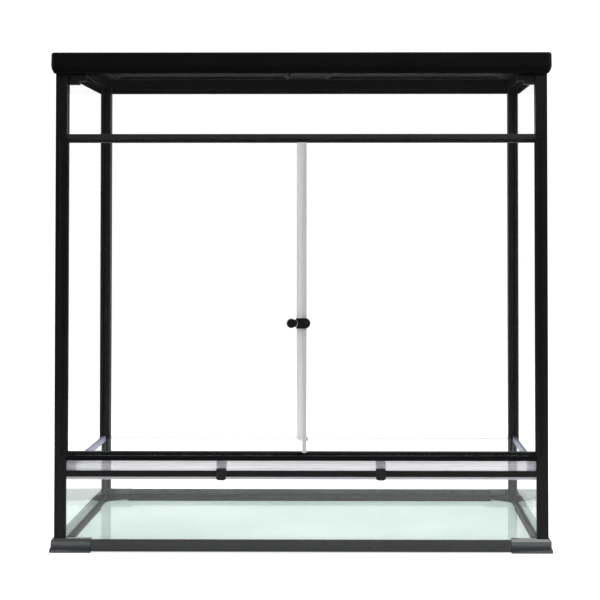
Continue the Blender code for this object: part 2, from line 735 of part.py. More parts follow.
def top_cover():
    """Moulded cover: a shell with a curled rim, ribs and pads inside, and two stepped screen wells."""
    radius = COVER_EDGE_RADIUS
    shoulder = COVER_TOP - radius
    inside = COVER_WALL + COVER_CURL_IN + 2 * MM
    rings = [cover_ring(COVER_RIM, inside, COVER_CORNER_RADIUS - inside, COVER_FRONT_DROP)]
    rings += cover_levels(0.0)
    for turn in range(0, 91, 15):
        rise = math.sin(math.radians(turn))
        inset = COVER_DRAFT + radius * (1 - math.cos(math.radians(turn)))
        corner = COVER_CORNER_RADIUS - inset
        rings.append(cover_ring(shoulder + radius * rise, inset, corner))
    surface = black_moulding()
    cover = finish("top_cover", loft(rings), surface, 40)
    inner_corner = COVER_CORNER_RADIUS - COVER_WALL
    drafted = COVER_WALL + COVER_DRAFT
    below = COVER_RIM - COVER_FRONT_DROP - 2 * MM
    hollow = [cover_ring(below, COVER_WALL + COVER_CURL_IN, inner_corner - COVER_CURL_IN)]
    hollow += cover_levels(COVER_WALL)
    hollow.append(cover_ring(shoulder, drafted, inner_corner - COVER_DRAFT))
    hollow.append(cover_ring(COVER_TOP - COVER_WALL, drafted + 2 * MM, inner_corner - 2 * MM))
    boolean(cover, loft(hollow), "DIFFERENCE", "hollow")
    wall = 2.0 * MM
    well_in = WINDOW_IN - LEDGE
    well_out = WINDOW_OUT + LEDGE
    well_y = WINDOW_HALF_Y + LEDGE
    block_low = LEDGE_TOP - 2.2 * MM
    block_top = COVER_TOP - 1.2 * MM
    stock_low = (well_in - wall, -well_y - wall, block_low)
    stock_high = (well_out + wall, well_y + wall, block_top)
    added = cover_ribs() + both_ways(stock_low, stock_high, False)
    boolean(cover, together(added), "UNION", "ribs_and_wells")
    above = COVER_TOP + 2 * MM
    well_low = (well_in, -well_y, LEDGE_TOP)
    well_high = (well_out, well_y, above)
    boolean(cover, together(both_ways(well_low, well_high, False)), "DIFFERENCE", "wells")
    window_low = (WINDOW_IN, -WINDOW_HALF_Y, block_low - 2 * MM)
    window_high = (WINDOW_OUT, WINDOW_HALF_Y, above)
    boolean(cover, together(both_ways(window_low, window_high, False)), "DIFFERENCE", "windows")


def net(centre_x, half_x, half_y):
    """Flat woven sheet as a grid of bars with real gaps, its border held in the screen frame."""
    border = 3.3 * MM

    def lines(centre, half, gaps):
        inside = half - border
        pitch = (2 * inside + NET_BAR) / gaps
        stops = [centre - half]
        for i in range(gaps):
            start = centre - inside + i * pitch
            stops += [start, start + pitch - NET_BAR]
        return stops + [centre + half]

    xs = lines(centre_x, half_x, NET_COLUMNS)
    ys = lines(0.0, half_y, NET_ROWS)
    levels = (NET_Z - NET_THICKNESS / 2, NET_Z + NET_THICKNESS / 2)
    shape = bmesh.new()
    corners = {}

    def corner(i, j, k):
        if (i, j, k) not in corners:
            corners[i, j, k] = shape.verts.new((xs[i], ys[j], levels[k]))
        return corners[i, j, k]

    def filled(i, j):
        inside = 0 <= i < len(xs) - 1 and 0 <= j < len(ys) - 1
        return inside and (i % 2 == 0 or j % 2 == 0)

    for i in range(len(xs) - 1):
        for j in range(len(ys) - 1):
            if not filled(i, j):
                continue
            for k in (0, 1):
                around = ((i, j), (i + 1, j), (i + 1, j + 1), (i, j + 1))
                shape.faces.new([corner(a, b, k) for a, b in around])
            walls = (
                ((i - 1, j), (i, j), (i, j + 1)),
                ((i + 1, j), (i + 1, j), (i + 1, j + 1)),
                ((i, j - 1), (i, j), (i + 1, j)),
                ((i, j + 1), (i, j + 1), (i + 1, j + 1)),
            )
            for beside, start, end in walls:
                if not filled(*beside):
                    around = ((start, 0), (end, 0), (end, 1), (start, 1))
                    shape.faces.new([corner(*place, level) for place, level in around])
    return shape


def screen(side, side_x):
    """Lift-out screen: a grooved frame in the cover's well with a mesh sheet in the groove."""
    slack = 0.4 * MM
    outer_in = WINDOW_IN - LEDGE + slack
    outer_out = WINDOW_OUT + LEDGE - slack
    half_x = (outer_out - outer_in) / 2
    half_y = WINDOW_HALF_Y + LEDGE - slack
    centre_x = side_x * (outer_in + outer_out) / 2
    bottom = LEDGE_TOP + GAP
    groove = SCREEN_BAR - 3.0 * MM
    low = NET_Z - NET_THICKNESS / 2 - GAP
    high = NET_Z + NET_THICKNESS / 2 + GAP
    cut = 0.6 * MM
    section = [(0.0, bottom), (0.0, SCREEN_TOP - cut), (cut, SCREEN_TOP), (SCREEN_BAR - cut, SCREEN_TOP)]
    section += [(SCREEN_BAR, SCREEN_TOP - cut), (SCREEN_BAR, high), (groove, high), (groove, low)]
    section += [(SCREEN_BAR, low), (SCREEN_BAR, bottom)]
    bars = picture_frame(section, centre_x, half_x, half_y)
    frame = finish("screen_frame_" + side, bars, black_moulding())
    reach = groove + GAP
    weave = net(centre_x, half_x - reach, half_y - reach)
    sheet = finish("screen_mesh_" + side, weave, steel_mesh())
    turning_on(side + "_screen_slide", Vector((centre_x, 0.0, bottom)), [frame, sheet])


# Doors

def hinge_strip(name, side_x):
    """Full-height strip: a bead that turns in the post's groove and a channel on the door's edge."""
    centre = (HINGE_U, HINGE_V)
    neck = 0.8 * MM
    half_turn = math.degrees(math.asin(neck / BEAD_RADIUS))
    root = 16.6 * MM
    floor = 17.8 * MM
    tip = 23.5 * MM
    face = 0.4 * MM
    back = 7.0 * MM
    front_in = DOOR_FRONT - GAP
    rear_in = DOOR_FRONT + PANE_GLASS + GAP
    cut = 0.4 * MM
    outline = arc(centre, BEAD_RADIUS, half_turn, 360 - half_turn, 16)
    outline += [(root, HINGE_V - neck), (root, face + cut), (root + cut, face), (tip - cut, face)]
    outline += [(tip, face + cut), (tip, front_in), (floor, front_in), (floor, rear_in), (tip, rear_in)]
    outline += [(tip, back - cut), (tip - cut, back), (root, back), (root, HINGE_V + neck)]
    place = upright(side_x, -1)
    return finish(name, extruded(outline, place, DOOR_BOTTOM, DOOR_TOP), black_extrusion(), 40)


def door_glass(name, left, right):
    """Pane of one door, set back a little from the posts' front faces."""
    front = -HALF_DEPTH + DOOR_FRONT
    return glass_pane(name, (left, front, DOOR_BOTTOM), (right, front + PANE_GLASS, DOOR_TOP))


def door_seal():
    """Clear channel on the right door's free edge with a lip that closes the gap to the left door."""
    wall = 1.0 * MM
    front = -219.6 * MM
    back = -213.0 * MM
    glass_front = front + wall
    glass_back = back - wall
    web = SEAL_WEB_EDGE + wall
    low = 174.5 * MM
    high = 750.0 * MM
    outline = [(SEAL_WEB_EDGE, front), (SEAL_CHANNEL_EDGE, front), (SEAL_CHANNEL_EDGE, glass_front)]
    outline += [(web, glass_front), (web, glass_back), (SEAL_CHANNEL_EDGE, glass_back)]
    outline += [(SEAL_CHANNEL_EDGE, back), (SEAL_WEB_EDGE, back)]
    seal = finish("door_seal", extruded(outline, plan, low, high), clear_pvc())
    corner = 8.0 * MM
    reach = SEAL_WEB_EDGE + wall / 2
    notch_low = LATCH_Z - KEEPER_HALF - 0.4 * MM
    notch_high = LATCH_Z + KEEPER_HALF + 0.4 * MM
    lip_front = front + 0.05 * MM
    lip_back = lip_front + 1.1 * MM
    lower = arc((SEAL_LIP_EDGE + corner, SEAL_LIP_END + corner), corner, 180, 270, 6)
    lower += [(reach, SEAL_LIP_END), (reach, notch_low), (SEAL_LIP_EDGE, notch_low)]
    lip_top = high - GAP
    upper = rectangle(SEAL_LIP_EDGE, reach, notch_high, lip_top)
    tab_front = front + 0.1 * MM
    tab_low = (SEAL_CHANNEL_EDGE - MM, tab_front, SEAL_LIP_END)
    tab_high = (SEAL_CHANNEL_EDGE + 2.7 * MM, tab_front + 0.8 * MM, SEAL_LIP_END + 7.0 * MM)
    tab = block(tab_low, tab_high)
    added = [extruded(part, facing_front, lip_front, lip_back) for part in (lower, upper)]
    boolean(seal, together(added + [tab]), "UNION", "lip")
    return seal


def disc(x, radius, near, far, steps=32):
    """A round piece whose axis runs along Y at the latch's height."""
    outline = arc((x, LATCH_Z), radius, 0, 360 - 360 / steps, steps - 1)
    return extruded(outline, facing_front, near, far)


def latch_base():
    """Round base on the left door with the pin that the knob turns on."""
    back = -218.6 * MM
    face = -220.6 * MM
    pin_end = -226.0 * MM
    base = finish("latch_base", disc(KNOB_X, 7.5 * MM, face, back), black_moulding(), 40)
    boolean(base, disc(KNOB_X, PIN_RADIUS, pin_end, (face + back) / 2, 24), "UNION", "pin")
    return base


def latch_knob():
    """Domed knob with a tongue that reaches into the keeper."""
    back = -221.0 * MM
    shoulder = -225.6 * MM
    face = -227.5 * MM
    rings = []
    steps = 36
    levels = ((KNOB_RADIUS, back), (KNOB_RADIUS, shoulder), (7.9 * MM, -226.7 * MM), (6.2 * MM, face))
    for radius, y in levels:
        outline = arc((KNOB_X, LATCH_Z), radius, 0, 360 - 360 / steps, steps - 1)
        rings.append([facing_front(a, b, y) for a, b in outline])
    knob = finish("latch_knob", loft(rings), black_moulding(), 40)
    tongue_face = -225.0 * MM
    spread = math.degrees(math.asin(TONGUE_HALF / TONGUE_RADIUS))
    tongue = [(KNOB_X, LATCH_Z - TONGUE_HALF)]
    tongue += arc((KNOB_X, LATCH_Z), TONGUE_RADIUS, -spread, spread, 8)
    tongue += [(KNOB_X, LATCH_Z + TONGUE_HALF)]
    step = 0.1 * MM
    boolean(knob, extruded(tongue, facing_front, tongue_face, back - step), "UNION", "tongue")
    bore_end = -226.3 * MM
    boolean(knob, disc(KNOB_X, PIN_RADIUS + GAP, bore_end, back + MM, 24), "DIFFERENCE", "bore")
    return knob


def latch_keeper():
    """Keeper clamped on the right door: a plate with a crescent for the knob, a web and a back leaf."""
    back = -219.9 * MM
    face = -225.5 * MM
    top = LATCH_Z + KEEPER_HALF
    low = LATCH_Z - KEEPER_HALF
    plate = arc((KEEPER_ROUND_X, LATCH_Z), KEEPER_HALF, -90, 90, 12)
    crescent = TONGUE_RADIUS + 0.4 * MM
    start = math.degrees(math.acos((KEEPER_LEFT - KNOB_X) / crescent))
    plate += [(KEEPER_LEFT, top)]
    plate += arc((KNOB_X, LATCH_Z), crescent, start, -start, 12)
    plate += [(KEEPER_LEFT, low)]
    keeper = finish("latch_keeper", extruded(plate, facing_front, face, back), black_moulding(), 40)
    web_left = -1.2 * MM
    web_right = SEAL_WEB_EDGE - GAP
    leaf_front = -212.7 * MM
    leaf_back = -210.2 * MM
    inset = 0.3 * MM
    web = block((web_left, back - MM, low + inset), (web_right, leaf_back - inset, top - inset))
    round_end = KEEPER_HALF - 2 * inset
    leaf = [(web_left, LATCH_Z + round_end), (web_left, LATCH_Z - round_end)]
    leaf += arc((KEEPER_ROUND_X - MM, LATCH_Z), round_end, -90, 90, 12)
    boolean(keeper, web, "UNION", "web")
    boolean(keeper, extruded(leaf, facing_front, leaf_front, leaf_back), "UNION", "leaf")
    hole = disc(SCREW_X, SCREW_SHANK + GAP, face - MM, back - 1.5 * MM, 20)
    boolean(keeper, hole, "DIFFERENCE", "screw_hole")
    return keeper


def latch_screw():
    """Round-headed screw in the keeper."""
    seat = -225.8 * MM
    head = 3.0 * MM
    rings = []
    steps = 24
    levels = [(SCREW_SHANK, seat + 4.0 * MM), (SCREW_SHANK, seat), (head, seat)]
    levels += [(head, seat - 0.8 * MM), (2.3 * MM, seat - 1.5 * MM), (1.0 * MM, seat - 1.8 * MM)]
    for radius, y in levels:
        outline = arc((SCREW_X, LATCH_Z), radius, 0, 360 - 360 / steps, steps - 1)
        rings.append([facing_front(a, b, y) for a, b in outline])
    return finish("latch_screw", loft(rings), black_moulding(), 40)


def doors():
    """Both doors with all they carry, each hung on its hinge axis."""
    glass_edge = HALF_WIDTH - 18.1 * MM
    axis_x = HALF_WIDTH - HINGE_U
    axis_y = -HALF_DEPTH + HINGE_V
    middle = (DOOR_BOTTOM + DOOR_TOP) / 2
    left = [door_glass("door_glass_left", -glass_edge, LEFT_DOOR_EDGE)]
    left += [hinge_strip("hinge_strip_left", -1), latch_base()]
    left_axis = turning_on("left_door_axis", Vector((-axis_x, axis_y, middle)), left)
    knob_axis = turning_on("latch_axis", Vector((KNOB_X, -222.0 * MM, LATCH_Z)), [latch_knob()])
    knob_axis.parent = left_axis
    knob_axis.matrix_parent_inverse = Matrix.Translation(left_axis.location).inverted()
    right = [door_glass("door_glass_right", RIGHT_DOOR_EDGE, glass_edge)]
    right += [hinge_strip("hinge_strip_right", 1), door_seal(), latch_keeper(), latch_screw()]
    turning_on("right_door_axis", Vector((axis_x, axis_y, middle)), right)


def build():
    """Clear the scene and make every piece."""
    for item in list(bpy.data.objects):
        bpy.data.objects.remove(item, do_unlink=True)
    base()
    tray()
    posts()
    joiners()
    panes()
    door_header()
    door_sill()
    for side_x, side in ((-1, "left"), (1, "right")):
        transom_bracket("transom_bracket_" + side, side_x)
        screen(side, side_x)
    top_cover()
    doors()


build()
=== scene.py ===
import json
import math

import bpy
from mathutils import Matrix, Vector

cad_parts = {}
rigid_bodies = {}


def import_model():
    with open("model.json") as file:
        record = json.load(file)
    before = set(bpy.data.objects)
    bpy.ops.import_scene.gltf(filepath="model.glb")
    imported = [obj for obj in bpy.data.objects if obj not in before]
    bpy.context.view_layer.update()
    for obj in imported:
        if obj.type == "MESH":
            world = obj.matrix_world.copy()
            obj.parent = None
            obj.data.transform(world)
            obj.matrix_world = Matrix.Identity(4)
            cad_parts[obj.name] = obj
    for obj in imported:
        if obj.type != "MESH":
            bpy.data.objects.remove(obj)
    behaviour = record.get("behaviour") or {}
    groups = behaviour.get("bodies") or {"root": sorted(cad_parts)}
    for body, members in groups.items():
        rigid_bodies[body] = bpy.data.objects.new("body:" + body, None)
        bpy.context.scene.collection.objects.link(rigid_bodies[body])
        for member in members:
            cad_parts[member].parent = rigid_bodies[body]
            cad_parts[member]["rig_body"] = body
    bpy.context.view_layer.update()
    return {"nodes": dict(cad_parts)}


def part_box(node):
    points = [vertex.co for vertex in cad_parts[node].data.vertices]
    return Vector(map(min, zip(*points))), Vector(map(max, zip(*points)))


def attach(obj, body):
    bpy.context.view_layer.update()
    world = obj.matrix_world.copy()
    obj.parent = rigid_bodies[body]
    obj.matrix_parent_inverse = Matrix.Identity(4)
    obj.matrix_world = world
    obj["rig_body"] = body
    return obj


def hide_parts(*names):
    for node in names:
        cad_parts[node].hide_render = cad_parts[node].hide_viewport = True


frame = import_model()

# Lengths are in metres, and names that end in _mm or _MM are in millimetres.
MM = 0.001
NODES = frame["nodes"]


# Colours and nodes

WHITE = "#ffffff"


def linear(hex_colour):
    """An sRGB hex colour as the linear values that shaders take."""
    values = [int(hex_colour[i:i + 2], 16) / 255 for i in (1, 3, 5)]
    return [v / 12.92 if v <= 0.04045 else ((v + 0.055) / 1.055) ** 2.4 for v in values] + [1.0]


def add(tree, kind, links=None, values=None, **settings):
    """Add one node, set its properties and socket values, and link other sockets into it."""
    node = tree.nodes.new(kind)
    for name, value in settings.items():
        setattr(node, name, value)
    for socket, value in (values or {}).items():
        node.inputs[socket].default_value = value
    for socket, source in (links or {}).items():
        tree.links.new(source, node.inputs[socket])
    return node


def new_finish(name, **principled):
    """A Principled material with its constants set on the shader's own sockets."""
    made = bpy.data.materials.new(name)
    made.use_nodes = True
    shader = made.node_tree.nodes["Principled BSDF"]
    for socket, value in principled.items():
        shader.inputs[socket.replace("_", " ")].default_value = value
    return made, made.node_tree, shader


def mottled(tree, vector, low, high, scale, detail=3.0):
    """Two close colours mixed by soft noise, as pigment and handling leave them."""
    noise = add(tree, "ShaderNodeTexNoise", {"Vector": vector}, {"Scale": scale, "Detail": detail})
    ramp = add(tree, "ShaderNodeValToRGB", {"Fac": noise.outputs["Fac"]})
    ramp.color_ramp.elements[0].position = 0.35
    ramp.color_ramp.elements[0].color = linear(low)
    ramp.color_ramp.elements[1].position = 0.65
    ramp.color_ramp.elements[1].color = linear(high)
    return ramp.outputs["Color"]


def grain(tree, shader, vector, size_mm, depth_mm, smooth, rough):
    """Fine relief with grains of a real size, glossier on their crowns than between them."""
    noise = add(tree, "ShaderNodeTexNoise", {"Vector": vector},
                {"Scale": 1000 / size_mm, "Detail": 3.0})
    relief = add(tree, "ShaderNodeBump", {"Height": noise.outputs["Fac"]},
                 {"Strength": 0.5, "Distance": depth_mm * MM})
    gloss = add(tree, "ShaderNodeMapRange", {"Value": noise.outputs["Fac"]},
                {"To Min": smooth, "To Max": rough})
    tree.links.new(relief.outputs["Normal"], shader.inputs["Normal"])
    tree.links.new(gloss.outputs["Result"], shader.inputs["Roughness"])


# Finishes

def powder_coat(name, low, high, sheen=0.25):
    """Powder-coated metal: deep black satin with faint orange peel, 0.9 mm across."""
    made, tree, shader = new_finish(name, Specular_IOR_Level=sheen)
    place = add(tree, "ShaderNodeTexCoord").outputs["Object"]
    tree.links.new(mottled(tree, place, low, high, 14.0), shader.inputs["Base Color"])
    grain(tree, shader, place, 0.9, 0.006, 0.40, 0.46)
    return made


def moulded_abs(name, low, high, gloss, grain_mm=0.7, sheen=0.3):
    """Injection-moulded ABS: an even spark-eroded grain that breaks up the reflections."""
    made, tree, shader = new_finish(name, Specular_IOR_Level=sheen)
    place = add(tree, "ShaderNodeTexCoord").outputs["Object"]
    tree.links.new(mottled(tree, place, low, high, 9.0), shader.inputs["Base Color"])
    grain(tree, shader, place, grain_mm, 0.02, gloss - 0.05, gloss + 0.08)
    return made


FACE_TURN = 0.9
FACE_ON_MIRROR = 0.03


def window_glass(name, across, glare, haze, edge_low, edge_high, edge_alpha):
    """Panes of float glass: clear seen face on, mirrors seen flat, with darker ground edges.

    across is the axis that the pane's faces look along. An alpha that grows with the slant keeps
    what stands behind a pane crisp.
    """
    made, tree, shader = new_finish(name, Roughness=haze)
    place = add(tree, "ShaderNodeTexCoord")
    facing = add(tree, "ShaderNodeSeparateXYZ", {"Vector": place.outputs["Normal"]})
    size = add(tree, "ShaderNodeMath", {0: facing.outputs[across]}, operation="ABSOLUTE")
    face = add(tree, "ShaderNodeMath", {0: size.outputs[0]}, {1: FACE_TURN},
               operation="GREATER_THAN").outputs[0]
    edge = mottled(tree, place.outputs["Object"], edge_low, edge_high, 60.0)
    tint = add(tree, "ShaderNodeMix", {"Factor": face, 6: edge}, {7: linear(WHITE)},
               data_type="RGBA")
    tree.links.new(tint.outputs[2], shader.inputs["Base Color"])
    tree.links.new(face, shader.inputs["Metallic"])
    slant = add(tree, "ShaderNodeLayerWeight", values={"Blend": 0.5}).outputs["Facing"]
    steep = add(tree, "ShaderNodeMath", {0: slant}, {1: 5.0}, operation="POWER")
    mirror = add(tree, "ShaderNodeMapRange", {"Value": steep.outputs[0]},
                 {"To Min": FACE_ON_MIRROR, "To Max": glare})
    cover = add(tree, "ShaderNodeMix", {0: face, 3: mirror.outputs["Result"]}, {2: edge_alpha},
                data_type="FLOAT")
    tree.links.new(cover.outputs[0], shader.inputs["Alpha"])
    return made


def plate_glass(name, low, high, bend=1.52):
    """Thick float glass: clear and true, green through its depth."""
    made, tree, shader = new_finish(name, Roughness=0.0, IOR=bend, Transmission_Weight=1.0)
    place = add(tree, "ShaderNodeTexCoord").outputs["Object"]
    tree.links.new(mottled(tree, place, low, high, 3.0), shader.inputs["Base Color"])
    return made


DIE_LINE_MM = 1.5


def clear_pvc(name, low, high, alpha, along):
    """Clear PVC extrusion: milky lines left by the die run along the strip, 1.5 mm apart."""
    made, tree, shader = new_finish(name, IOR=1.54)
    place = add(tree, "ShaderNodeTexCoord").outputs["Object"]
    stretch = [0.02 if axis == along else 1.0 for axis in "XYZ"]
    lengthwise = add(tree, "ShaderNodeMapping", {"Vector": place},
                     {"Scale": stretch}).outputs["Vector"]
    lines = add(tree, "ShaderNodeTexNoise", {"Vector": lengthwise},
                {"Scale": 1000 / DIE_LINE_MM, "Detail": 2.0})
    gloss = add(tree, "ShaderNodeMapRange", {"Value": lines.outputs["Fac"]},
                {"To Min": 0.12, "To Max": 0.3})
    cloud = add(tree, "ShaderNodeMapRange", {"Value": lines.outputs["Fac"]},
                {"To Min": alpha * 0.85, "To Max": alpha * 1.15})
    tree.links.new(mottled(tree, lengthwise, low, high, 300.0), shader.inputs["Base Color"])
    tree.links.new(gloss.outputs["Result"], shader.inputs["Roughness"])
    tree.links.new(cloud.outputs["Result"], shader.inputs["Alpha"])
    return made


def cured_silicone():
    """Clear silicone: the dark base shows green through it, with tooling ripples 6 mm long."""
    made, tree, shader = new_finish("clear silicone sealant", Alpha=0.8, IOR=1.41,
                                    Specular_IOR_Level=0.3)
    place = add(tree, "ShaderNodeTexCoord").outputs["Object"]
    tree.links.new(mottled(tree, place, "#202d28", "#2b3a34", 60.0), shader.inputs["Base Color"])
    grain(tree, shader, place, 6.0, 0.15, 0.3, 0.4)
    return made


POSTS = powder_coat("black powder-coated aluminium", "#080808", "#0c0c0d", 0.22)
# Painted reflection: the sill has less sheen than the posts, and its lighter base colour stands in
# for the reflection taken off.
SILL_COAT_PAINTED_SHEEN = powder_coat("black powder-coated sill, painted lighter", "#0a0a0c", "#0f0f12", 0.06)
# Painted light: the header takes the posts' powder coat with a lighter base colour, standing in for
# the light it catches.
HEADER_COAT_PAINTED_LIGHT = powder_coat("black powder-coated header, painted lighter", "#1a1a1e", "#212126", 0.4)
COVER = moulded_abs("black grained ABS", "#030303", "#060606", 0.55, sheen=0.08)
BLACK_ABS = moulded_abs("black satin ABS", "#0a0a0a", "#101010", 0.38, 0.5)
CHARCOAL_ABS = moulded_abs("charcoal grained ABS, rails", "#1a1c1e", "#212325", 0.2, sheen=0.55)
# Painted highlight: the feet take the rails' charcoal ABS with a lighter base colour, standing in
# for the highlights on their slopes.
FEET_ABS_PAINTED_HIGHLIGHT = moulded_abs("charcoal grained ABS, feet, painted lighter", "#2a2c2f", "#313437", 0.18, sheen=1.0)
SCREEN_WIRE = powder_coat("black coated steel wire", "#0c0c0c", "#161616")
DOOR_GLASS = window_glass("float glass, doors", "Y", 0.6, 0.03, "#2a3a34", "#36483f", 0.55)
PANE_GLASS = window_glass("float glass, back and over the doors", "Y", 0.6, 0.03,
                          "#2a302e", "#343b39", 0.22)
SIDE_GLASS = window_glass("float glass, sides", "X", 0.12, 0.03, "#2a302e", "#343b39", 0.3)
TRAY_GLASS = window_glass("float glass, tray front and back", "Y", 0.6, 0.03,
                          "#2b443c", "#38564c", 0.8)
TRAY_SIDE_GLASS = plate_glass("float glass, tray sides", "#eef8f5", "#f4fbf9")
FLOOR_GLASS = plate_glass("float glass floor", "#d1e0db", "#dce8e4", 1.13)
STRIP_PVC = clear_pvc("clear PVC strip, front", "#d3d1da", "#eeecf3", 0.5, "X")
SIDE_PVC = clear_pvc("clear PVC strip, sides", "#a9a9c4", "#bcbcd4", 0.75, "Y")
BACK_PVC = clear_pvc("clear PVC strip, back", "#f2f2f6", "#fafafd", 0.04, "X")
SEAL_PVC = clear_pvc("clear PVC door seal", "#d0cfce", "#dedddc", 0.62, "Z")
FROSTED = clear_pvc("frosted grey plug", "#62626e", "#7a7a88", 0.85, "X")
SILICONE = cured_silicone()


# Modelling helpers

def only(piece):
    """Select one object alone and make it active."""
    bpy.ops.object.select_all(action="DESELECT")
    piece.select_set(True)
    bpy.context.view_layer.objects.active = piece


def settle(piece, name, finish, body):
    """Name a finished piece, put its place into its mesh, give it its finish and let it ride."""
    piece.name = name
    piece.data.name = name
    only(piece)
    bpy.ops.object.transform_apply(location=True, rotation=True, scale=True)
    piece.data.materials.clear()
    piece.data.materials.append(finish)
    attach(piece, body)
    return piece


def apply(piece, kind, **settings):
    """Add a modifier with its settings and apply it."""
    step = piece.modifiers.new(kind.lower(), kind)
    for name, value in settings.items():
        setattr(step, name, value)
    only(piece)
    bpy.ops.object.modifier_apply(modifier=step.name)


def body_of(node):
    """The body that a CAD node belongs to."""
    return NODES[node]["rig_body"]


MERGE_MM = 0.002
FLAT_WITHIN = math.radians(0.3)
EDGE_OVER = math.radians(32)
SMOOTH_UNDER = math.radians(38)


def rounded(node, radius_mm, finish, segments=2):
    """A merged copy of a CAD node with its edges rounded over, in the node's place."""
    piece = bpy.data.objects.new(node + "_rounded", NODES[node].data.copy())
    bpy.context.scene.collection.objects.link(piece)
    only(piece)
    bpy.ops.object.mode_set(mode="EDIT")
    bpy.ops.mesh.select_all(action="SELECT")
    bpy.ops.mesh.remove_doubles(threshold=MERGE_MM * MM)
    bpy.ops.mesh.dissolve_limited(angle_limit=FLAT_WITHIN)
    bpy.ops.object.mode_set(mode="OBJECT")
    apply(piece, "BEVEL", width=radius_mm * MM, segments=segments, limit_method="ANGLE",
          angle_limit=EDGE_OVER)
    bpy.ops.object.shade_smooth_by_angle(angle=SMOOTH_UNDER)
    apply(piece, "WEIGHTED_NORMAL", mode="FACE_AREA", keep_sharp=True)
    settle(piece, piece.name, finish, body_of(node))
    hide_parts(node)
    return piece


# Frame, base and cover

def black_frame():
    """Posts, bars and hinge strips with the small edge radii of an extrusion."""
    for row in ("front", "back"):
        for side in ("left", "right"):
            rounded("corner_post_" + row + "_" + side, 0.2, POSTS)
    # The header's coat is painted lighter, for the light it catches.
    rounded("door_header", 0.2, HEADER_COAT_PAINTED_LIGHT)
    # The sill's lighter base is painted in for the sheen taken off it.
    rounded("door_sill", 0.15, SILL_COAT_PAINTED_SHEEN)
    rounded("vent_bar", 0.15, POSTS)
    for side in ("left", "right"):
        rounded("hinge_strip_" + side, 0.15, POSTS)
        rounded("vent_clip_" + side, 0.4, BLACK_ABS)
        rounded("transom_bracket_" + side, 0.5, BLACK_ABS)
        rounded("screen_frame_" + side, 0.4, COVER)
    rounded("top_cover", 0.6, COVER)


def charcoal_base():
    """Moulded feet and rails."""
    for row in ("front", "back"):
        rounded("base_rail_" + row, 0.4, CHARCOAL_ABS)
        for side in ("left", "right"):
            # The feet's finish is painted lighter, for the highlights they catch.
            rounded("corner_foot_" + row + "_" + side, 0.6, FEET_ABS_PAINTED_HIGHLIGHT)
    for side in ("left", "right"):
        rounded("base_rail_" + side, 0.4, CHARCOAL_ABS)


# Glass and clear strips keep the CAD solids and take finer finishes

def dress(node, finish):
    """Give a carried-over CAD node its finish."""
    NODES[node].data.materials.clear()
    NODES[node].data.materials.append(finish)


def glass_and_strips():
    """Panes, tray walls, floor, joiner strips and end plugs."""
    dress("back_glass", PANE_GLASS)
    dress("transom_glass", PANE_GLASS)
    for node in ("tray_glass_front", "tray_glass_back"):
        dress(node, TRAY_GLASS)
    for side in ("left", "right"):
        dress("door_glass_" + side, DOOR_GLASS)
        dress("side_glass_" + side, SIDE_GLASS)
        dress("tray_glass_" + side, TRAY_SIDE_GLASS)
        dress("glass_joiner_" + side, SIDE_PVC)
        dress("joiner_end_plug_" + side, FROSTED)
    dress("floor_glass", FLOOR_GLASS)
    dress("glass_joiner_back", BACK_PVC)
    dress("front_joiner", STRIP_PVC)


# Door seal and latch

def door_seal():
    """The seal strip, cut to the clear height between the header and the sill."""
    piece = bpy.data.objects.new("door_seal_strip", NODES["door_seal"].data.copy())
    bpy.context.scene.collection.objects.link(piece)
    only(piece)
    bpy.ops.object.mode_set(mode="EDIT")
    for height, up in ((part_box("door_header")[0].z, 1),
                       (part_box("door_sill")[1].z, -1)):
        bpy.ops.mesh.select_all(action="SELECT")
        bpy.ops.mesh.bisect(plane_co=(0, 0, height), plane_no=(0, 0, up), clear_outer=True,
                            use_fill=True)
    bpy.ops.object.mode_set(mode="OBJECT")
    settle(piece, piece.name, SEAL_PVC, body_of("door_seal"))
    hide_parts("door_seal")


def latch():
    """Base and knob on the left door, keeper and its screw on the right one."""
    rounded("latch_base", 0.3, BLACK_ABS)
    rounded("latch_knob", 0.5, BLACK_ABS, 3)
    rounded("latch_keeper", 0.8, BLACK_ABS, 3)
    rounded("latch_screw", 0.2, BLACK_ABS)


# Woven screens

WIRE_PITCH = 3.2
WIRE_RADIUS = 0.35


def wavy_wire(length_mm, start, along, lift):
    """One wire of the weave: a four-sided tube that rises and dips at every crossing."""
    turn = (0, math.pi / 2, 0) if along == 0 else (math.pi / 2, 0, 0)
    bpy.ops.mesh.primitive_circle_add(vertices=4, radius=WIRE_RADIUS * MM, fill_type="NGON",
                                      location=start, rotation=turn)
    wire = bpy.context.active_object
    bpy.ops.object.transform_apply(location=True, rotation=True, scale=True)
    bpy.ops.object.mode_set(mode="EDIT")
    bpy.ops.mesh.select_all(action="SELECT")
    step = [0.0, 0.0, 0.0]
    rise = lift
    for crossing in range(round(length_mm / WIRE_PITCH)):
        rise = -rise
        step[along] = WIRE_PITCH * MM
        step[2] = 2 * rise * WIRE_RADIUS * MM
        bpy.ops.mesh.extrude_region_move(TRANSFORM_OT_translate={"value": tuple(step)})
    bpy.ops.mesh.select_all(action="SELECT")
    bpy.ops.mesh.normals_make_consistent(inside=False)
    bpy.ops.object.mode_set(mode="OBJECT")
    return wire


